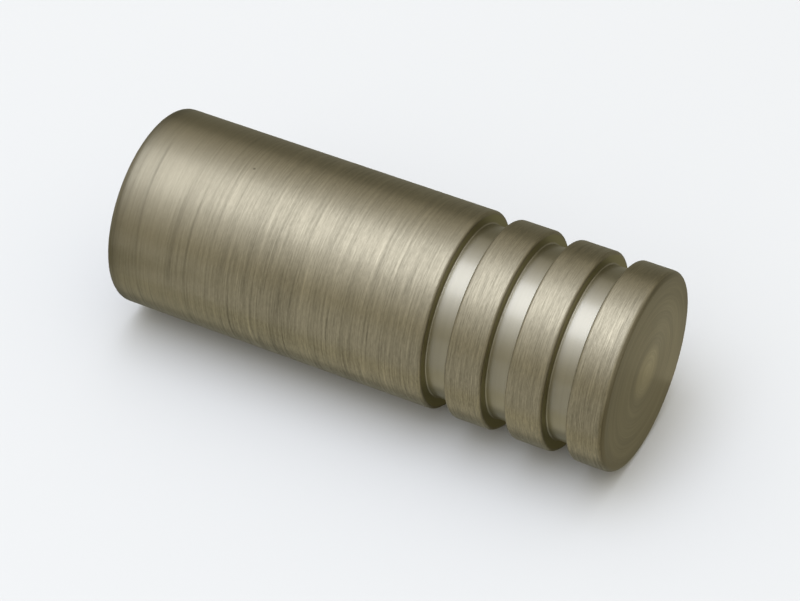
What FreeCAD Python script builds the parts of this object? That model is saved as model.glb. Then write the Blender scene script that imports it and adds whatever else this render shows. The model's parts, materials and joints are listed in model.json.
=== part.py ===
# Curtain pole finial: a turned sleeve with three ring grooves, and the grub screw that holds it on the pole.
# Frame: origin at the centre of the socket's mouth, +X along the axis to the closed end, +Z up, millimetres.
import FreeCAD, Part
import os
import Sketcher

Vec = FreeCAD.Vector

# Driving sizes, in millimetres unless the name says otherwise.
SIZES = [
    ("pole_diameter", 25.0, "round curtain pole that goes into the socket"),
    ("pole_clearance", 0.2, "gap between the pole and the socket, on the radius"),
    ("socket_depth", 40.0, "how far the pole goes in"),
    ("mouth_chamfer", 0.5, "lead-in on the socket's mouth"),
    ("sleeve_wall", 3.3, "wall of the sleeve round the socket"),
    ("sleeve_length", 54.8, "plain part, from the mouth to the first groove"),
    ("rim_round", 1.3, "outer edge of the mouth"),
    ("ring_count", 3, "grooves, each followed by a ridge"),
    ("groove_width", 4.0, "width of a groove between its two side walls"),
    ("groove_depth", 2.0, "depth of a groove below the ridges"),
    ("ridge_width", 6.1, "width of a ridge, the last one ends at the end face"),
    ("ridge_edge_break", 0.3, "broken outer edges of the ridges and of the sleeve at the first groove"),
    ("end_face_round", 1.0, "outer edge of the closed end face"),
    ("screw_place", 14.0, "distance of the screw from the mouth"),
    ("thread_diameter", 4.0, "outer diameter of the screw's thread"),
    ("thread_clearance", 0.05, "gap between the screw and its tapped hole, on the radius"),
    ("screw_inset", 0.15, "how far both ends of the screw lie inside the sleeve's wall"),
    ("screw_edge_chamfer", 0.3, "chamfer on the screw's socket end"),
    ("screw_point_chamfer", 0.7, "chamfer round the screw's flat point"),
    ("key_across_flats", 2.0, "hexagon key that fits the screw"),
    ("key_depth", 1.5, "depth of the hexagon in the screw"),
]

# Sizes that follow from the driving ones, as formulas of the sheet.
DERIVED = [
    ("socket_radius", "=pole_diameter / 2 + pole_clearance"),
    ("outer_radius", "=socket_radius + sleeve_wall"),
    ("ring_pitch", "=groove_width + ridge_width"),
    ("total_length", "=sleeve_length + ring_count * ring_pitch"),
    ("groove_radius", "=outer_radius - groove_depth"),
    ("pattern_length", "=(ring_count - 1) * ring_pitch"),
    ("hole_diameter", "=thread_diameter + 2 * thread_clearance"),
    ("screw_length", "=sleeve_wall - 2 * screw_inset"),
    ("screw_head_radius", "=outer_radius - screw_inset"),
    ("key_corner_radius", "=key_across_flats / sqrt(3)"),
]


def make_sheet(doc):
    # The sheet holds every size once; the features below read it by name.
    sheet = doc.addObject("Spreadsheet::Sheet", "Sizes")
    rows = [(name, str(value), note) for name, value, note in SIZES]
    rows += [(name, formula, "follows from the sizes above") for name, formula in DERIVED]
    for row, (name, content, note) in enumerate(rows, start=1):
        sheet.set("A%d" % row, name)
        sheet.set("B%d" % row, content)
        sheet.set("C%d" % row, note)
        sheet.setAlias("B%d" % row, name)
    doc.recompute()
    return sheet


def origin_plane(body, role):
    # One of the body's own origin planes, such as XZ_Plane.
    return [part for part in body.Origin.OriginFeatures if part.Role == role][0]


def add_sketch(body, name, role):
    sketch = body.newObject("Sketcher::SketchObject", name)
    sketch.AttachmentSupport = [(origin_plane(body, role), "")]
    sketch.MapMode = "FlatFace"
    return sketch


def bind(sketch, constraint, formula):
    # Adds a named dimension to the sketch and ties it to the sheet.
    kind, name, args = constraint
    index = sketch.addConstraint(Sketcher.Constraint(kind, *args))
    sketch.renameConstraint(index, name)
    sketch.setExpression("Constraints." + name, formula)


def add_rectangle(sketch, left, bottom, right, top):
    # Four lines: 0 bottom, 1 right, 2 top, 3 left, closed and square to the axes.
    corners = [Vec(left, bottom, 0), Vec(right, bottom, 0), Vec(right, top, 0), Vec(left, top, 0)]
    for k in range(4):
        sketch.addGeometry(Part.LineSegment(corners[k], corners[(k + 1) % 4]), False)
    for k in range(4):
        sketch.addConstraint(Sketcher.Constraint("Coincident", k, 2, (k + 1) % 4, 1))
        sketch.addConstraint(Sketcher.Constraint("Horizontal" if k % 2 == 0 else "Vertical", k))


def revolve(body, kind, name, sketch):
    # A full turn about the sketch's horizontal axis, which is the finial's axis.
    feature = body.newObject(kind, name)
    feature.Profile = sketch
    feature.ReferenceAxis = (sketch, ["H_Axis"])
    feature.Angle = 360.0
    sketch.Visibility = False
    return feature


def ring_edges(shape, radius, places):
    # Names of the round edges about the X axis that have this radius and lie at these places along it.
    names = []
    for index, edge in enumerate(shape.Edges, start=1):
        if not isinstance(edge.Curve, Part.Circle):
            continue
        centre = edge.Curve.Center
        on_axis = abs(centre.y) < 1e-6 and abs(centre.z) < 1e-6
        if on_axis and abs(edge.Curve.Radius - radius) < 1e-6:
            if any(abs(centre.x - place) < 1e-6 for place in places):
                names.append("Edge%d" % index)
    return names


def dress(body, kind, name, base, edges, prop, formula):
    # A fillet or chamfer on named edges of the feature before it.
    feature = body.newObject(kind, name)
    feature.Base = (base, edges)
    feature.setExpression(prop, formula)
    return feature


def make_finial(doc, sheet):
    body = doc.addObject("PartDesign::Body", "FinialBody")
    body.Label = "finial_body"

    # The bar: half of its lengthwise section, turned about the axis.
    bar_sketch = add_sketch(body, "BarSection", "XZ_Plane")
    add_rectangle(bar_sketch, 0, 0, sheet.total_length, sheet.outer_radius)
    bar_sketch.addConstraint(Sketcher.Constraint("Coincident", 0, 1, -1, 1))
    bind(bar_sketch, ("DistanceX", "length", (0, 1, 0, 2, sheet.total_length)), "Sizes.total_length")
    bind(bar_sketch, ("DistanceY", "radius", (1, 1, 1, 2, sheet.outer_radius)), "Sizes.outer_radius")
    bar = revolve(body, "PartDesign::Revolution", "Bar", bar_sketch)

    # The blind socket for the pole.
    socket_sketch = add_sketch(body, "SocketSection", "XZ_Plane")
    add_rectangle(socket_sketch, 0, 0, sheet.socket_depth, sheet.socket_radius)
    socket_sketch.addConstraint(Sketcher.Constraint("Coincident", 0, 1, -1, 1))
    bind(socket_sketch, ("DistanceX", "depth", (0, 1, 0, 2, sheet.socket_depth)), "Sizes.socket_depth")
    bind(socket_sketch, ("DistanceY", "radius", (1, 1, 1, 2, sheet.socket_radius)), "Sizes.socket_radius")
    revolve(body, "PartDesign::Groove", "Socket", socket_sketch)

    # The first ring groove, cut from above the surface down to its floor, and the others beside it.
    groove_sketch = add_sketch(body, "RingGrooveSection", "XZ_Plane")
    left = sheet.sleeve_length
    add_rectangle(groove_sketch, left, sheet.groove_radius, left + sheet.groove_width,
                  sheet.outer_radius + sheet.groove_depth)
    bind(groove_sketch, ("DistanceX", "start", (-1, 1, 0, 1, left)), "Sizes.sleeve_length")
    bind(groove_sketch, ("DistanceX", "width", (0, 1, 0, 2, sheet.groove_width)), "Sizes.groove_width")
    bind(groove_sketch, ("DistanceY", "floor", (-1, 1, 0, 1, sheet.groove_radius)), "Sizes.groove_radius")
    bind(groove_sketch, ("DistanceY", "cut", (1, 1, 1, 2, 2 * sheet.groove_depth)), "2 * Sizes.groove_depth")
    groove = revolve(body, "PartDesign::Groove", "RingGroove", groove_sketch)
    rings = body.newObject("PartDesign::LinearPattern", "RingGrooves")
    rings.Originals = [groove]
    rings.Direction = (groove_sketch, ["H_Axis"])
    rings.setExpression("Length", "Sizes.pattern_length")
    rings.setExpression("Occurrences", "Sizes.ring_count")
    body.Tip = rings
    doc.recompute()

    # Broken edges, from the outside in.
    starts = [sheet.sleeve_length + k * sheet.ring_pitch for k in range(int(sheet.ring_count))]
    walls = starts + [start + sheet.groove_width for start in starts]
    last = rings
    for kind, name, radius, places, prop, formula in [
            ("PartDesign::Chamfer", "RidgeEdges", sheet.outer_radius, walls, "Size", "Sizes.ridge_edge_break"),
            ("PartDesign::Fillet", "EndFaceEdge", sheet.outer_radius, [sheet.total_length], "Radius",
             "Sizes.end_face_round"),
            ("PartDesign::Fillet", "RimEdge", sheet.outer_radius, [0], "Radius", "Sizes.rim_round"),
            ("PartDesign::Chamfer", "MouthLeadIn", sheet.socket_radius, [0], "Size", "Sizes.mouth_chamfer")]:
        last = dress(body, kind, name, last, ring_edges(last.Shape, radius, places), prop, formula)
        doc.recompute()

    # The tapped hole runs from the axis plane down through the wall of the underside.
    hole_sketch = add_sketch(body, "ScrewHoleCircle", "XY_Plane")
    hole_sketch.addGeometry(Part.Circle(Vec(sheet.screw_place, 0, 0), Vec(0, 0, 1), sheet.hole_diameter / 2))
    hole_sketch.addConstraint(Sketcher.Constraint("PointOnObject", 0, 3, -1))
    bind(hole_sketch, ("DistanceX", "place", (-1, 1, 0, 3, sheet.screw_place)), "Sizes.screw_place")
    bind(hole_sketch, ("Diameter", "bore", (0, sheet.hole_diameter)), "Sizes.hole_diameter")
    hole = body.newObject("PartDesign::Pocket", "ScrewHole")
    hole.Profile = hole_sketch
    hole.Type = "ThroughAll"
    hole_sketch.Visibility = False
    doc.recompute()
    return body, bar


def make_screw(doc, sheet):
    # The screw is modelled upright with its point at z = 0 and its socket end up, and then placed.
    body = doc.addObject("PartDesign::Body", "GrubScrew")
    body.Label = "grub_screw"

    shank_sketch = add_sketch(body, "ShankCircle", "XY_Plane")
    shank_sketch.addGeometry(Part.Circle(Vec(0, 0, 0), Vec(0, 0, 1), sheet.thread_diameter / 2))
    shank_sketch.addConstraint(Sketcher.Constraint("Coincident", 0, 3, -1, 1))
    bind(shank_sketch, ("Diameter", "thread", (0, sheet.thread_diameter)), "Sizes.thread_diameter")
    shank = body.newObject("PartDesign::Pad", "Shank")
    shank.Profile = shank_sketch
    shank.setExpression("Length", "Sizes.screw_length")
    shank_sketch.Visibility = False
    doc.recompute()

    def end_edge(shape, height):
        return ["Edge%d" % k for k, edge in enumerate(shape.Edges, start=1)
                if isinstance(edge.Curve, Part.Circle) and abs(edge.Curve.Center.z - height) < 1e-6]

    point = dress(body, "PartDesign::Chamfer", "FlatPoint", shank, end_edge(shank.Shape, 0), "Size",
                  "Sizes.screw_point_chamfer")
    doc.recompute()
    dress(body, "PartDesign::Chamfer", "SocketEnd", point, end_edge(point.Shape, sheet.screw_length), "Size",
          "Sizes.screw_edge_chamfer")
    doc.recompute()

    # The hexagon for the key, cut down from the socket end.
    key_sketch = add_sketch(body, "KeyHexagon", "XY_Plane")
    key_sketch.setExpression("AttachmentOffset.Base.z", "Sizes.screw_length")
    corners = [Vec(sheet.key_corner_radius, 0, 0)]
    turn = FreeCAD.Rotation(Vec(0, 0, 1), 60)
    for k in range(5):
        corners.append(turn.multVec(corners[-1]))
    for k in range(6):
        key_sketch.addGeometry(Part.LineSegment(corners[k], corners[(k + 1) % 6]), False)
    ring = key_sketch.addGeometry(Part.Circle(Vec(0, 0, 0), Vec(0, 0, 1), sheet.key_corner_radius), True)
    key_sketch.addConstraint(Sketcher.Constraint("Coincident", ring, 3, -1, 1))
    for k in range(6):
        key_sketch.addConstraint(Sketcher.Constraint("Coincident", k, 2, (k + 1) % 6, 1))
        key_sketch.addConstraint(Sketcher.Constraint("PointOnObject", k, 1, ring))
        if k > 0:
            key_sketch.addConstraint(Sketcher.Constraint("Equal", 0, k))
    key_sketch.addConstraint(Sketcher.Constraint("PointOnObject", 0, 1, -1))
    bind(key_sketch, ("Radius", "corners", (ring, sheet.key_corner_radius)), "Sizes.key_corner_radius")
    key = body.newObject("PartDesign::Pocket", "KeySocket")
    key.Profile = key_sketch
    key.setExpression("Length", "Sizes.key_depth")
    key_sketch.Visibility = False
    doc.recompute()

    # Turned over, so that the socket end faces down, just inside the sleeve's surface.
    tip_height = -(sheet.screw_head_radius - sheet.screw_length)
    body.Placement = FreeCAD.Placement(Vec(sheet.screw_place, 0, tip_height), FreeCAD.Rotation(Vec(1, 0, 0), 180))
    doc.recompute()
    return body


def check(doc, bodies):
    for item in doc.Objects:
        if "Invalid" in item.State or "Error" in item.State:
            raise RuntimeError("%s failed: %s" % (item.Name, item.State))
    for body in bodies:
        shape = body.Shape
        if shape.isNull() or not shape.isValid() or len(shape.Solids) != 1:
            raise RuntimeError("%s isn't one valid solid" % body.Label)


def main():
    doc = FreeCAD.newDocument("CurtainPoleFinial")
    sheet = make_sheet(doc)
    finial, bar = make_finial(doc, sheet)
    screw = make_screw(doc, sheet)
    check(doc, [finial, screw])
    if finial.Shape.Volume >= bar.Shape.Volume:
        raise RuntimeError("the socket and the grooves cut nothing")
    os.makedirs("parts", exist_ok=True)
    for body in (finial, screw):
        body.Shape.exportStep("parts/%s.step" % body.Label)
        box = body.Shape.optimalBoundingBox(False, False)
        print("%s: %.1f mm3, x %.2f..%.2f, y %.2f..%.2f, z %.2f..%.2f" % (
            body.Label, body.Shape.Volume, box.XMin, box.XMax, box.YMin, box.YMax, box.ZMin, box.ZMax))


main()
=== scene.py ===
# Curtain pole finial in brushed satin nickel, lying on a pale studio floor.
import bmesh
import bpy
import json
import math
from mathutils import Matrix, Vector


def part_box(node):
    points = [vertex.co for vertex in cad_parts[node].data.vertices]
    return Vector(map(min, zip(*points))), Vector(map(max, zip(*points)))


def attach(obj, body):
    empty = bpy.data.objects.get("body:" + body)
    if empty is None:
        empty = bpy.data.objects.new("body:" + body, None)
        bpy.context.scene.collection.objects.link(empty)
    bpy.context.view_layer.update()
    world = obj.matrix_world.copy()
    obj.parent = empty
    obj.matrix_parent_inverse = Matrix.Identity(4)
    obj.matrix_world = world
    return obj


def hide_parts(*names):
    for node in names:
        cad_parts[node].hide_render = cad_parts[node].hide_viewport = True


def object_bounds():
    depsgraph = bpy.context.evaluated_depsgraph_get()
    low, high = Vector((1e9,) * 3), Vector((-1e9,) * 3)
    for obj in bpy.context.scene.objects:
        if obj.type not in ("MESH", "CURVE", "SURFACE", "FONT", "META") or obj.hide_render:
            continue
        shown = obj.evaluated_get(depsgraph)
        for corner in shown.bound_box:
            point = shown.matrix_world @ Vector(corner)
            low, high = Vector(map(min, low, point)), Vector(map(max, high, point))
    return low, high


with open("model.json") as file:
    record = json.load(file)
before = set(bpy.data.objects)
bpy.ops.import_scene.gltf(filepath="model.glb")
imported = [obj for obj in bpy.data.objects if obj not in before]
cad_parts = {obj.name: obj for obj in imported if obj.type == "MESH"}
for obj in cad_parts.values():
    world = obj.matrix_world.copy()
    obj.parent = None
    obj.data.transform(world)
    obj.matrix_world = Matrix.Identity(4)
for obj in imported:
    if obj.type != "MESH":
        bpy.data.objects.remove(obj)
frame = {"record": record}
cadLow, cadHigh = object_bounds()
mounts = {mount["name"]: mount for mount in frame["record"]["mounts"]}
millimetre = 0.001


# Small helpers for shader nodes

def newMaterial(name):
    # a material with a bare Principled shader; returns the material, its node tree and the shader
    material = bpy.data.materials.new(name)
    material.use_nodes = True
    tree = material.node_tree
    return material, tree, tree.nodes["Principled BSDF"]


def addNode(tree, kind, links=None, **values):
    # node settings go in as plain names, socket values and links by socket name or number
    node = tree.nodes.new(kind)
    sockets = values.pop("sockets", {})
    for name, value in values.items():
        setattr(node, name, value)
    for name, value in sockets.items():
        node.inputs[name].default_value = value
    for name, source in (links or {}).items():
        tree.links.new(source, node.inputs[name])
    return node


def mathNode(tree, operation, first, second=None):
    # one arithmetic step; each side is a socket or a number
    node = addNode(tree, "ShaderNodeMath", operation=operation)
    for index, side in enumerate((first, second)):
        if isinstance(side, (int, float)):
            node.inputs[index].default_value = side
        elif side is not None:
            tree.links.new(side, node.inputs[index])
    return node.outputs[0]


def product(tree, *factors):
    # multiplies sockets and numbers together
    total = factors[0]
    for factor in factors[1:]:
        total = mathNode(tree, "MULTIPLY", total, factor)
    return total


def streakNoise(tree, along, place, width, length, detail=2.0, seed=0.0):
    # noise drawn out round the axis: the width of a streak, and the length that it runs
    parts = addNode(tree, "ShaderNodeSeparateXYZ", {0: place})
    stretched = addNode(tree, "ShaderNodeCombineXYZ", {
        0: mathNode(tree, "MULTIPLY", along, 1.0 / width),
        1: mathNode(tree, "MULTIPLY", parts.outputs[1], 1.0 / length),
        2: mathNode(tree, "MULTIPLY", parts.outputs[2], 1.0 / length)})
    noise = addNode(tree, "ShaderNodeTexNoise", {"Vector": stretched.outputs[0]}, noise_dimensions="4D",
                    sockets={"W": seed, "Scale": 1.0, "Detail": detail, "Roughness": 0.6})
    return noise.outputs[0]


def spread(tree, value, low, high, toLow, toHigh, ramp="LINEAR"):
    # maps a value from low..high to toLow..toHigh, held at both ends
    node = addNode(tree, "ShaderNodeMapRange", {0: value}, interpolation_type=ramp,
                   sockets={1: low, 2: high, 3: toLow, 4: toHigh})
    return node.outputs[0]


def bell(tree, value, centre, width):
    # 1 where the value is at the centre, falling off on both sides within about the width
    offset = mathNode(tree, "DIVIDE", mathNode(tree, "SUBTRACT", value, centre), width)
    return mathNode(tree, "EXPONENT", mathNode(tree, "MULTIPLY", mathNode(tree, "POWER", offset, 2.0), -0.5))


# Finishes. Sizes in them are real ones, in metres.

def metalShader(tree, shader, finish, tone, bumpHeight):
    # colour times tone, the brushed highlight turned across the scratches, and their relief
    colour = addNode(tree, "ShaderNodeMixRGB", {2: tone}, blend_type="MULTIPLY",
                     sockets={0: 1.0, 1: (*finish["colour"], 1.0)})
    tree.links.new(colour.outputs[0], shader.inputs["Base Color"])
    shader.inputs["Metallic"].default_value = 1.0
    shader.inputs["Roughness"].default_value = finish["roughness"]
    shader.inputs["Anisotropic"].default_value = finish["anisotropy"]
    shader.inputs["Anisotropic Rotation"].default_value = 0.25    # a quarter turn
    roundAxis = addNode(tree, "ShaderNodeTangent", direction_type="RADIAL", axis="X")
    tree.links.new(roundAxis.outputs[0], shader.inputs["Tangent"])
    relief = addNode(tree, "ShaderNodeBump", {"Height": bumpHeight},
                     sockets={"Strength": finish["bump"], "Distance": finish["bumpDepth"]})
    tree.links.new(relief.outputs[0], shader.inputs["Normal"])
    if "lacquer" in finish:
        shader.inputs["Coat Weight"].default_value = finish["lacquer"]
        shader.inputs["Coat Roughness"].default_value = finish["lacquerRoughness"]
        shader.inputs["Coat IOR"].default_value = finish["lacquerIor"]


def streakSum(tree, along, place, streaks):
    # adds up layers of streaks, each a width, a length and a share; the sum swings about 0
    seedStep = 7.0
    total = 0.0
    for number, (width, length, share) in enumerate(streaks):
        layer = streakNoise(tree, along, place, width, length, seed=seedStep * number)
        swing = mathNode(tree, "MULTIPLY", mathNode(tree, "SUBTRACT", layer, 0.5), share)
        total = mathNode(tree, "ADD", swing, total)
    return total


def pitTone(tree, place, finish):
    # one small dark pit in the sleeve
    angle = math.radians(finish["pitAngle"])
    pit = (finish["pitPlace"], -finish["pitOut"] * math.cos(angle), finish["pitOut"] * math.sin(angle))
    fromPit = addNode(tree, "ShaderNodeVectorMath", {0: place}, operation="DISTANCE",
                      sockets={1: pit}).outputs["Value"]
    return spread(tree, fromPit, *finish["pitEdge"], finish["pitShade"], 1.0)


def ringScratch(tree, along, towardsTop, place, finish):
    # a scratch round the open end, not quite square to the axis, stronger and weaker as it goes
    slanted = mathNode(tree, "ADD", along, mathNode(tree, "MULTIPLY", towardsTop, finish["scratchSlant"]))
    patches = streakNoise(tree, along, place, *finish["scratchPatches"], seed=finish["scratchSeed"])
    return product(tree, bell(tree, slanted, finish["scratchPlace"], finish["scratchWidth"]),
                   spread(tree, patches, *finish["scratchPatchEdge"], finish["scratchLeast"], 1.0),
                   finish["scratchDepth"], spread(tree, towardsTop, *finish["scratchEnd"], 1.0, 0.0))


def brushedNickel(name, finish):
    # the sleeve and the ridges: brushed round the axis with an abrasive
    material, tree, shader = newMaterial(name)
    place = addNode(tree, "ShaderNodeTexCoord").outputs["Object"]
    along = addNode(tree, "ShaderNodeSeparateXYZ", {0: place}).outputs[0]
    towardsTop = addNode(tree, "ShaderNodeVectorMath", {0: place}, operation="DOT_PRODUCT",
                         sockets={1: finish["topSide"]}).outputs["Value"]
    topStreakShare = spread(tree, towardsTop, *finish["topZone"], *finish["topShares"])
    calm = product(tree, spread(tree, along, *finish["calmZone"], finish["calmShare"], 1.0), topStreakShare)
    streaks = product(tree, streakSum(tree, along, place, finish["streaks"]), calm)
    hair = streakNoise(tree, along, place, *finish["hairSize"], detail=0.0, seed=finish["hairSeed"])
    hair = product(tree, spread(tree, hair, *finish["hairEdge"], 0.0, 1.0), finish["hairDepth"], topStreakShare)
    scratch = ringScratch(tree, along, towardsTop, place, finish)
    tone = mathNode(tree, "ADD", mathNode(tree, "MULTIPLY", streaks, finish["contrast"]), 1.0)
    # painted shade: the two spreads along the axis darken the open end and its rim
    tone = product(tree, mathNode(tree, "SUBTRACT", tone, hair),
                   spread(tree, along, *finish["endZone"], finish["endPaintedShade"], 1.0),
                   spread(tree, along, *finish["rimZone"], finish["rimPaintedShade"], 1.0),
                   pitTone(tree, place, finish), mathNode(tree, "SUBTRACT", 1.0, scratch))
    metalShader(tree, shader, finish, tone, mathNode(tree, "SUBTRACT", streaks, scratch))
    # the deeper streaks are also the rougher ones, so most of the streaks show in the highlight
    rougher = mathNode(tree, "MULTIPLY", mathNode(tree, "SUBTRACT", hair, streaks), finish["roughSwing"])
    tree.links.new(mathNode(tree, "ADD", rougher, finish["roughness"]), shader.inputs["Roughness"])
    return material


def turnedNickel(name, finish):
    # round surfaces left as turned: fine rings, hardly any streaks
    material, tree, shader = newMaterial(name)
    place = addNode(tree, "ShaderNodeTexCoord").outputs["Object"]
    along = addNode(tree, "ShaderNodeSeparateXYZ", {0: place}).outputs[0]
    streaks = streakSum(tree, along, place, finish["streaks"])
    tone = mathNode(tree, "ADD", mathNode(tree, "MULTIPLY", streaks, finish["contrast"]), 1.0)
    metalShader(tree, shader, finish, tone, streaks)
    return material


def facedNickel(finish):
    # the flat faces: turned rings round the centre, with a paler disc in the middle, and painted shade
    # darkening the outer edge
    material, tree, shader = newMaterial("faced_nickel")
    place = addNode(tree, "ShaderNodeTexCoord").outputs["Object"]
    parts = addNode(tree, "ShaderNodeSeparateXYZ", {0: place})
    flat = addNode(tree, "ShaderNodeCombineXYZ", {1: parts.outputs[1], 2: parts.outputs[2]})
    out = addNode(tree, "ShaderNodeVectorMath", {0: flat.outputs[0]}, operation="LENGTH").outputs["Value"]
    rings = streakSum(tree, out, place, finish["streaks"])
    tone = mathNode(tree, "ADD", mathNode(tree, "MULTIPLY", rings, finish["contrast"]), 1.0)
    ring = product(tree, bell(tree, out, finish["ringPlace"], finish["ringWidth"]), finish["ringDepth"])
    # the last spread paints shade towards the face's rounded edge
    tone = product(tree, tone, spread(tree, out, *finish["discEdge"], finish["discTone"], 1.0, "SMOOTHSTEP"),
                   mathNode(tree, "SUBTRACT", 1.0, ring),
                   spread(tree, out, *finish["rimZone"], 1.0, finish["rimPaintedShade"], "SMOOTHSTEP"))
    metalShader(tree, shader, finish, tone, rings)
    return material


def platedSteel(finish):
    # the grub screw: bright plating with faint clouds
    material, tree, shader = newMaterial("plated_steel")
    place = addNode(tree, "ShaderNodeTexCoord").outputs["Object"]
    noise = addNode(tree, "ShaderNodeTexNoise", {"Vector": place}, noise_dimensions="3D",
                    sockets={"Scale": 1.0 / finish["cloudSize"], "Detail": 4.0, "Roughness": 0.6})
    clouds = noise.outputs[0]
    swing = mathNode(tree, "MULTIPLY", mathNode(tree, "SUBTRACT", clouds, 0.5), finish["contrast"])
    metalShader(tree, shader, finish, mathNode(tree, "ADD", swing, 1.0), clouds)
    return material


nickelColour = (0.238, 0.207, 0.134)
brushedFinish = {
    "colour": nickelColour, "roughness": 0.42, "anisotropy": 0.75, "bump": 0.5, "bumpDepth": 0.00004,
    # each layer of streaks: width, length and share of the tone
    "streaks": [(0.0030, 0.100, 0.14), (0.0012, 0.060, 0.36), (0.0005, 0.018, 0.70), (0.00022, 0.006, 0.65),
                (0.00028, 0.0010, 0.50)],
    "contrast": 1.0, "roughSwing": 0.20,
    # long dark hairs between the streaks
    "hairSize": (0.00045, 0.022), "hairSeed": 59.0, "hairEdge": (0.60, 0.72), "hairDepth": 0.115,
    # fewer streaks near the open end, and on the top and back
    "calmZone": (0.008, 0.026), "calmShare": 0.42,
    "topSide": (0.0, 0.4, 0.9), "topZone": (-0.010, 0.016), "topShares": (1.30, 0.62),
    # painted shade: darker towards the open end, and darker still at its rim
    "endZone": (0.0, 0.0053), "endPaintedShade": 0.82, "rimZone": (0.0013, 0.0030), "rimPaintedShade": 0.82,
    # the pit's angle is in degrees, up from the -Y side
    "pitPlace": 0.0191, "pitAngle": 84.0, "pitOut": 0.016, "pitEdge": (0.00008, 0.00030), "pitShade": 0.45,
    # the ring scratch fades out before the top
    "scratchPlace": 0.0053, "scratchSlant": 0.037, "scratchWidth": 0.00015, "scratchDepth": 0.28,
    "scratchPatches": (0.01, 0.012), "scratchSeed": 31.0, "scratchPatchEdge": (0.35, 0.6),
    "scratchLeast": 0.5, "scratchEnd": (0.0120, 0.0142)}
ridgeFinish = dict(brushedFinish, streaks=[
    (0.0014, 0.060, 0.20), (0.0004, 0.012, 0.40), (0.00016, 0.004, 1.05), (0.00018, 0.0008, 0.65)],
    topShares=(1.05, 0.62))
wallFinish = {
    "colour": (0.266, 0.239, 0.112), "roughness": 0.42, "anisotropy": 0.5, "bump": 0.1, "bumpDepth": 0.00001,
    "streaks": [(0.0012, 0.04, 0.5), (0.0003, 0.02, 0.5)], "contrast": 0.25}
grooveFinish = dict(wallFinish, colour=(0.236, 0.207, 0.128), roughness=0.41, anisotropy=0.72,
                    lacquer=0.30, lacquerRoughness=0.22, lacquerIor=2.2)
faceFinish = {
    "colour": nickelColour, "roughness": 0.40, "anisotropy": 0.4, "bump": 0.3, "bumpDepth": 0.00002,
    "streaks": [(0.0016, 0.03, 0.5), (0.0006, 0.02, 0.5), (0.00025, 0.01, 0.6)], "contrast": 0.9,
    "discEdge": (0.0018, 0.0056), "discTone": 1.48,
    "ringPlace": 0.0052, "ringWidth": 0.0005, "ringDepth": 0.09,
    # painted shade: the face darkens towards its rounded edge
    "rimZone": (0.0110, 0.0155), "rimPaintedShade": 0.86}
socketFinish = {
    "colour": (0.56, 0.55, 0.52), "roughness": 0.38, "anisotropy": 0.5, "bump": 0.3, "bumpDepth": 0.00003,
    "streaks": [(0.002, 0.1, 0.5), (0.0003, 0.05, 0.5)], "contrast": 0.6}
screwFinish = {
    "colour": (0.40, 0.39, 0.36), "roughness": 0.30, "anisotropy": 0.0, "bump": 0.2, "bumpDepth": 0.00001,
    "cloudSize": 0.0008, "contrast": 0.3}
print("finishes ready")


# The finial: one outline turned round the axis

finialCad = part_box("finial_body")
finialSizes = {
    "length": finialCad[1].x,
    "radius": finialCad[1].z,
    "socketRadius": mounts["pole_socket"]["dims"]["r_mm"] * millimetre,
    "socketDepth": mounts["pole_stop"]["pos_m"][0],
    "mouthChamfer": 0.5 * millimetre,
    "sleeveLength": 54.8 * millimetre,
    "rimRound": 1.3 * millimetre,
    "grooveCount": 3,
    "grooveWidth": 4.0 * millimetre,
    "grooveDepth": 2.0 * millimetre,
    "grooveCornerRound": 0.22 * millimetre,
    "ridgeWidth": 6.1 * millimetre,
    "ridgeEdgeRound": 0.5 * millimetre,
    "endFaceRound": 1.0 * millimetre,
    "turns": 288,                # flats round the axis
    "arcSteps": 7,               # flats in a rounded corner
    "guard": 0.04 * millimetre,  # short strip beside each rounding that keeps the long faces' shading true
}
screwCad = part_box("grub_screw")
screwSizes = {
    "place": (screwCad[0].x + screwCad[1].x) / 2,
    "radius": (screwCad[1].x - screwCad[0].x) / 2,
    "socketEnd": screwCad[0].z,
    "point": screwCad[1].z,
    "edgeChamfer": 0.3 * millimetre,
    "pointChamfer": 0.7 * millimetre,
    "acrossFlats": 2.0 * millimetre,
    "keyDepth": 1.5 * millimetre,
    "keyLeadIn": 0.05 * millimetre,
    "pitch": 0.7 * millimetre,
    "threadDepth": 0.541,            # as a share of the pitch: a 60 degree thread
    "halfCrest": 0.125,              # half the flat crest, as a share of half the pitch
    "flank": 0.625,                  # the slope beside it, likewise
    "clearance": 0.05 * millimetre,  # between the screw's thread and the tapped hole's
    "holePast": 1.0 * millimetre,    # how far the tapping tool runs past both ends of the screw
    "turns": 96,
    "rowsPerPitch": 16,
}


def roundCorner(before, corner, after, radius, steps):
    # points of the arc that rounds the corner between two straight runs
    toBefore = (before - corner).normalized()
    toAfter = (after - corner).normalized()
    half = toBefore.angle(toAfter) / 2
    reach = radius / math.tan(half)
    centre = corner + (toBefore + toAfter).normalized() * (radius / math.sin(half))
    start = corner + toBefore * reach - centre
    end = corner + toAfter * reach - centre
    turn = start.angle_signed(end)
    points = []
    for step in range(steps + 1):
        angle = -turn * step / steps
        points.append(centre + Vector((start.x * math.cos(angle) - start.y * math.sin(angle),
                                       start.x * math.sin(angle) + start.y * math.cos(angle))))
    return points


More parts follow.
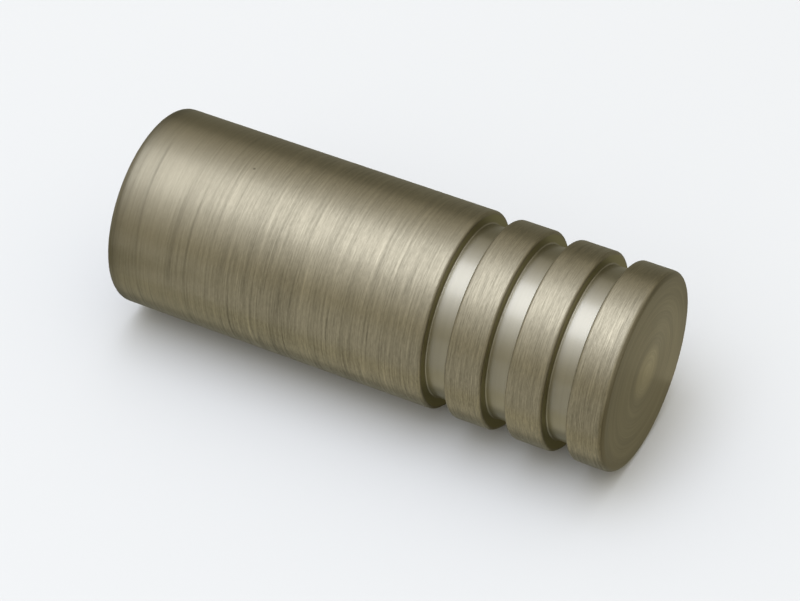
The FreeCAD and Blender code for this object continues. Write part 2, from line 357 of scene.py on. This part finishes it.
def finialOutline(sizes):
    # corners of the half section as (x, distance from the axis, rounding, finish of the run that follows)
    radius = sizes["radius"]
    floor = radius - sizes["grooveDepth"]
    chamfer = sizes["mouthChamfer"]
    corners = [
        (sizes["socketDepth"], 0.0, 0.0, "socket"),
        (sizes["socketDepth"], sizes["socketRadius"], 0.0, "socket"),
        (chamfer, sizes["socketRadius"], 0.0, "socket"),
        (0.0, sizes["socketRadius"] + chamfer, 0.0, "face"),
        (0.0, radius, sizes["rimRound"], "brushed"),
    ]
    start = sizes["sleeveLength"]
    for groove in range(sizes["grooveCount"]):
        end = start + sizes["grooveWidth"]
        corners += [
            (start, radius, sizes["ridgeEdgeRound"], "wall"),
            (start, floor, sizes["grooveCornerRound"], "groove"),
            (end, floor, sizes["grooveCornerRound"], "wall"),
            (end, radius, sizes["ridgeEdgeRound"], "ridge"),
        ]
        start = end + sizes["ridgeWidth"]
    corners.append((sizes["length"], radius, sizes["endFaceRound"], "face"))
    corners.append((sizes["length"], 0.0, 0.0, "face"))
    return corners


def arcFinish(before, after, share):
    # a rounded edge is brushed like the run beside it, but towards a flat face only for its first part
    brushedShare = 0.3
    if after == "face":
        return before if share < brushedShare else "face"
    if before == "face":
        return after if share > 1 - brushedShare else "face"
    return before if before in ("brushed", "ridge") else after


def roundedOutline(corners, steps, guard):
    # the outline as points with the finish of the run that follows each
    points = []
    places = [Vector(corner[:2]) for corner in corners]
    for index, place in enumerate(places):
        rounding, finish = corners[index][2:]
        if rounding == 0:
            points.append((place, finish))
            continue
        before, after = places[index - 1], places[index + 1]
        arc = roundCorner(before, place, after, rounding, steps)
        finishBefore = corners[index - 1][3]
        points.append((arc[0] + (before - place).normalized() * guard, finishBefore))
        points += [(point, arcFinish(finishBefore, finish, step / steps)) for step, point in enumerate(arc)]
        points.append((arc[-1] + (after - place).normalized() * guard, finish))
    return points


def skinLoops(name, loops, finishes, materials):
    # joins ring after ring of points into one closed surface; a ring of a single point closes an end
    starts = [0]
    for loop in loops:
        starts.append(starts[-1] + len(loop))
    faces, faceFinishes = [], []
    names = list(materials)
    for row, (near, far) in enumerate(zip(loops, loops[1:])):
        for turn in range(max(len(near), len(far))):
            corners = [starts[row] + turn % len(near), starts[row] + (turn + 1) % len(near),
                       starts[row + 1] + (turn + 1) % len(far), starts[row + 1] + turn % len(far)]
            faces.append(list(dict.fromkeys(corners)))
            faceFinishes.append(names.index(finishes[row]))
    mesh = bpy.data.meshes.new(name)
    mesh.from_pydata([point for loop in loops for point in loop], [], faces)
    for material in materials.values():
        mesh.materials.append(material)
    mesh.polygons.foreach_set("material_index", faceFinishes)
    mesh.polygons.foreach_set("use_smooth", [True] * len(mesh.polygons))
    surface = bmesh.new()
    surface.from_mesh(mesh)
    bmesh.ops.recalc_face_normals(surface, faces=surface.faces)
    surface.to_mesh(mesh)
    surface.free()
    piece = bpy.data.objects.new(name, mesh)
    bpy.context.scene.collection.objects.link(piece)
    return piece


def turnOutline(name, outline, turns, materials):
    # sweeps the outline round the X axis
    onAxis = 1e-9
    loops = []
    for point, finish in outline:
        if point.y < onAxis:
            loops.append([(point.x, 0.0, 0.0)])
            continue
        angles = [2 * math.pi * turn / turns for turn in range(turns)]
        loops.append([(point.x, point.y * math.cos(angle), point.y * math.sin(angle)) for angle in angles])
    return skinLoops(name, loops, [finish for point, finish in outline], materials)


def threadLoops(sizes, radius, start, end, startLimit, endLimit):
    # rings up a thread with flats at the crest and the root
    # a limit holds the radius down at its end, and grows by as much as the height from there
    rows = math.ceil((end - start) / sizes["pitch"] * sizes["rowsPerPitch"])
    depth = sizes["threadDepth"] * sizes["pitch"]
    loops = []
    for row in range(rows + 1):
        height = start + (end - start) * row / rows
        limit = min(startLimit + height - start, endLimit + end - height)
        loop = []
        for turn in range(sizes["turns"]):
            share = turn / sizes["turns"]
            fromCrest = abs(2 * (((height - sizes["socketEnd"]) / sizes["pitch"] - share) % 1.0) - 1)
            cut = min(max((fromCrest - sizes["halfCrest"]) / sizes["flank"], 0.0), 1.0)
            reach = min(radius - depth * cut, limit)
            angle = 2 * math.pi * share
            loop.append((sizes["place"] + reach * math.cos(angle), reach * math.sin(angle), height))
        loops.append(loop)
    return loops


def hexagonLoop(sizes, flat, height):
    # a six-sided ring with corners on the X axis; flat is the distance from the middle to a side
    loop = []
    for turn in range(sizes["turns"]):
        angle = 2 * math.pi * turn / sizes["turns"]
        reach = flat / math.cos(angle % (math.pi / 3) - math.pi / 6)
        loop.append((sizes["place"] + reach * math.cos(angle), reach * math.sin(angle), height))
    return loop


def makeScrew(sizes, material):
    # from the bottom of the key's hexagon out over the socket end, up the thread and over the flat point
    flat = sizes["acrossFlats"] / 2
    bottom = sizes["socketEnd"] + sizes["keyDepth"]
    loops = [[(sizes["place"], 0.0, bottom)], hexagonLoop(sizes, flat, bottom),
             hexagonLoop(sizes, flat, sizes["socketEnd"] + sizes["keyLeadIn"]),
             hexagonLoop(sizes, flat + sizes["keyLeadIn"], sizes["socketEnd"])]
    loops += threadLoops(sizes, sizes["radius"], sizes["socketEnd"], sizes["point"],
                         sizes["radius"] - sizes["edgeChamfer"], sizes["radius"] - sizes["pointChamfer"])
    loops.append([(sizes["place"], 0.0, sizes["point"])])
    return skinLoops("set_screw", loops, ["plating"] * len(loops), {"plating": material})


def tapHole(piece, sizes, materials):
    # cuts the tapped hole for the screw, its thread in step with the screw's
    radius = sizes["radius"] + sizes["clearance"]
    start, end = sizes["socketEnd"] - sizes["holePast"], sizes["point"] + sizes["holePast"]
    loops = [[(sizes["place"], 0.0, start)]] + threadLoops(sizes, radius, start, end, radius, radius)
    loops.append([(sizes["place"], 0.0, end)])
    tap = skinLoops("tap", loops, ["wall"] * len(loops), materials)
    cut = piece.modifiers.new("tapped_hole", "BOOLEAN")
    cut.operation = "DIFFERENCE"
    cut.solver = "EXACT"
    cut.object = tap
    tapped = bpy.data.meshes.new_from_object(piece.evaluated_get(bpy.context.evaluated_depsgraph_get()))
    piece.modifiers.clear()
    piece.data = tapped
    bpy.data.objects.remove(tap)


def sharpenCorners(piece, fromDegrees=30):
    # shading breaks at corners of more than this, and runs on elsewhere
    piece.data.set_sharp_from_angle(angle=math.radians(fromDegrees))


finialMaterials = {
    "socket": turnedNickel("turned_socket", socketFinish),
    "face": facedNickel(faceFinish),
    "brushed": brushedNickel("brushed_nickel", brushedFinish),
    "ridge": brushedNickel("brushed_ridges", ridgeFinish),
    "wall": turnedNickel("turned_wall", wallFinish),
    "groove": turnedNickel("lacquered_groove", grooveFinish),
}
outline = roundedOutline(finialOutline(finialSizes), finialSizes["arcSteps"], finialSizes["guard"])
finial = turnOutline("finial", outline, finialSizes["turns"], finialMaterials)
tapHole(finial, screwSizes, finialMaterials)
sharpenCorners(finial)
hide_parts("finial_body")
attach(finial, "root")
print("finial turned and tapped:", len(finial.data.polygons), "faces")

screw = makeScrew(screwSizes, platedSteel(screwFinish))
sharpenCorners(screw)
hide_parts("grub_screw")
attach(screw, "root")
print("screw cut:", len(screw.data.polygons), "faces")


# Studio: pale floor, even surroundings that glow overhead, a soft light, and cards for the metal to mirror

studio = {
    "floorSize": 6.0,
    "floorColour": (0.56, 0.545, 0.485),
    "surround": (0.725, 0.705, 0.62),
    "glow": (3.17, 3.50, 4.65),          # added to the surround at the middle of the glow
    "glowDirection": (-0.10, -0.20, 0.92),
    "glowSpread": 3.5,                   # power of the cosine: higher is narrower
    "glowWidth": 0.33,                   # how far it reaches along the finial; 1 is the horizon
    "softboxPlace": (-0.05, -0.11, 0.56),
    "softboxSize": (0.22, 0.50),
    "softboxPower": 0.75,
    "softboxColour": (0.88, 0.98, 1.30),
    # cards that only the metal sees, glowing at their own level with no lamp on them, as painted
    # reflections; each with its middle, size and level:
    # an upright flag behind the finial, and mats darker than the floor, with one paler patch, the ones
    # nearest the finial being painted contact shadow; a mat's height is above the floor
    "flag": ((0.04, 0.055, 0.0125), (0.36, 0.057), (0.33, 0.32, 0.25)),
    "mats": {
        "dark_mat_behind": ((-0.00775, 0.023, 0.0002), (0.1845, 0.064), (0.33, 0.32, 0.23)),
        "dark_mat_right": ((0.155, 0.0325, 0.0002), (0.130, 0.045), (0.42, 0.40, 0.30)),
        "dark_mat_right_near": ((0.155, 0.0005, 0.0002), (0.130, 0.019), (0.40, 0.38, 0.28)),
        "dark_mat_corner": ((0.24325, -0.0645, 0.0002), (0.3135, 0.111), (0.40, 0.38, 0.29)),
        # painted contact shadow beside the closed end's face, seen only in the metal
        "painted_contact_shadow_step": ((0.08725, 0.023, 0.0002), (0.0055, 0.064), (0.33, 0.31, 0.22)),
        "pale_patch": ((0.08925, 0.0235, 0.0004), (0.0095, 0.017), (0.64, 0.61, 0.47)),
        "dark_mat_left": ((-0.058, -0.0505, 0.0002), (0.104, 0.041), (0.48, 0.47, 0.36)),
        "dark_mat_rim": ((-0.045, -0.0195, 0.0002), (0.062, 0.021), (0.42, 0.40, 0.31)),
        "dark_mat_front": ((0.011, -0.02275, 0.0002), (0.050, 0.0145), (0.70, 0.70, 0.61)),
        "dark_mat_front_right": ((0.06125, -0.02275, 0.0002), (0.0505, 0.0145), (0.80, 0.79, 0.69)),
        # painted contact shadow in front of and under the finial, seen only in the metal
        "painted_contact_shadow_near": ((0.03625, -0.01185, 0.0002), (0.1005, 0.0073), (0.33, 0.33, 0.28)),
        "painted_contact_shadow_under": ((0.03225, 0.0007, 0.0004), (0.1045, 0.0206), (0.12, 0.11, 0.065)),
    },
}


def flatPiece(name, width, depth, place, turn, material):
    # a flat rectangle facing +Z before it is turned
    mesh = bpy.data.meshes.new(name)
    x, y = width / 2, depth / 2
    mesh.from_pydata([(-x, -y, 0), (x, -y, 0), (x, y, 0), (-x, y, 0)], [], [(0, 1, 2, 3)])
    mesh.materials.append(material)
    piece = bpy.data.objects.new(name, mesh)
    piece.location = place
    piece.rotation_euler = turn
    bpy.context.scene.collection.objects.link(piece)
    return piece


def mattMaterial(name, colour):
    # no shine at all
    material, tree, shader = newMaterial(name)
    shader.inputs["Base Color"].default_value = (*colour, 1.0)
    shader.inputs["Roughness"].default_value = 0.9
    shader.inputs["Specular IOR Level"].default_value = 0.0
    return material


def cardMaterial(name, level):
    # a card that glows evenly at this level though it is no lamp: a painted reflection for the metal
    material, tree, shader = newMaterial(name)
    shader.inputs["Base Color"].default_value = (0.0, 0.0, 0.0, 1.0)
    shader.inputs["Specular IOR Level"].default_value = 0.0
    shader.inputs["Emission Color"].default_value = (*level, 1.0)
    shader.inputs["Emission Strength"].default_value = 1.0
    return material


flatPiece("floor", studio["floorSize"], studio["floorSize"], (0, 0, cadLow.z), (0, 0, 0),
          mattMaterial("pale_floor", studio["floorColour"]))
place, size, level = studio["flag"]
cards = [flatPiece("dark_flag", *size, place, (math.radians(90), 0, 0), cardMaterial("dark_flag", level))]
for name, (place, size, level) in studio["mats"].items():
    cards.append(flatPiece(name, *size, Vector(place) + Vector((0, 0, cadLow.z)), (0, 0, 0),
                           cardMaterial(name, level)))
for card in cards:
    card.visible_camera = False
    card.visible_diffuse = False
    card.visible_shadow = False

world = bpy.data.worlds.new("surround")
bpy.context.scene.world = world
world.use_nodes = True
sky = world.node_tree
direction = addNode(sky, "ShaderNodeTexCoord").outputs["Generated"]
facing = addNode(sky, "ShaderNodeVectorMath", {0: direction}, operation="DOT_PRODUCT",
                 sockets={1: Vector(studio["glowDirection"]).normalized()}).outputs["Value"]
sideways = addNode(sky, "ShaderNodeSeparateXYZ", {0: direction}).outputs[0]
share = product(sky, mathNode(sky, "POWER", mathNode(sky, "MAXIMUM", facing, 0.0), studio["glowSpread"]),
                bell(sky, sideways, studio["glowDirection"][0], studio["glowWidth"]))
glow = addNode(sky, "ShaderNodeVectorMath", {"Scale": share}, operation="SCALE", sockets={0: studio["glow"]})
surround = addNode(sky, "ShaderNodeVectorMath", {0: glow.outputs[0]}, operation="ADD",
                   sockets={1: studio["surround"]})
sky.links.new(surround.outputs[0], sky.nodes["Background"].inputs[0])

softbox = bpy.data.lights.new("softbox", "AREA")
softbox.shape = "RECTANGLE"
softbox.size, softbox.size_y = studio["softboxSize"]
softbox.energy = studio["softboxPower"]
softbox.color = studio["softboxColour"]
softboxObject = bpy.data.objects.new("softbox", softbox)
softboxObject.location = studio["softboxPlace"]
bpy.context.scene.collection.objects.link(softboxObject)

view = bpy.context.scene.view_settings
view.view_transform = "Standard"


# Camera at the photograph's viewing angle

shot = {
    "azimuth": 27.188,       # degrees from the -Y side towards the closed end
    "elevation": 42.642,
    "distance": 0.5430,
    "target": (0.04389, -0.00103, -0.00166),
    "lens": 158.08,
}
azimuth, elevation = math.radians(shot["azimuth"]), math.radians(shot["elevation"])
back = Vector((math.sin(azimuth) * math.cos(elevation), -math.cos(azimuth) * math.cos(elevation),
               math.sin(elevation)))
camera = bpy.data.objects.new("camera", bpy.data.cameras.new("camera"))
camera.data.lens = shot["lens"]
camera.data.clip_start = 0.01
camera.location = Vector(shot["target"]) + back * shot["distance"]
camera.rotation_euler = (-back).to_track_quat("-Z", "Y").to_euler()
bpy.context.scene.collection.objects.link(camera)
bpy.context.scene.camera = camera
print("studio and camera set")
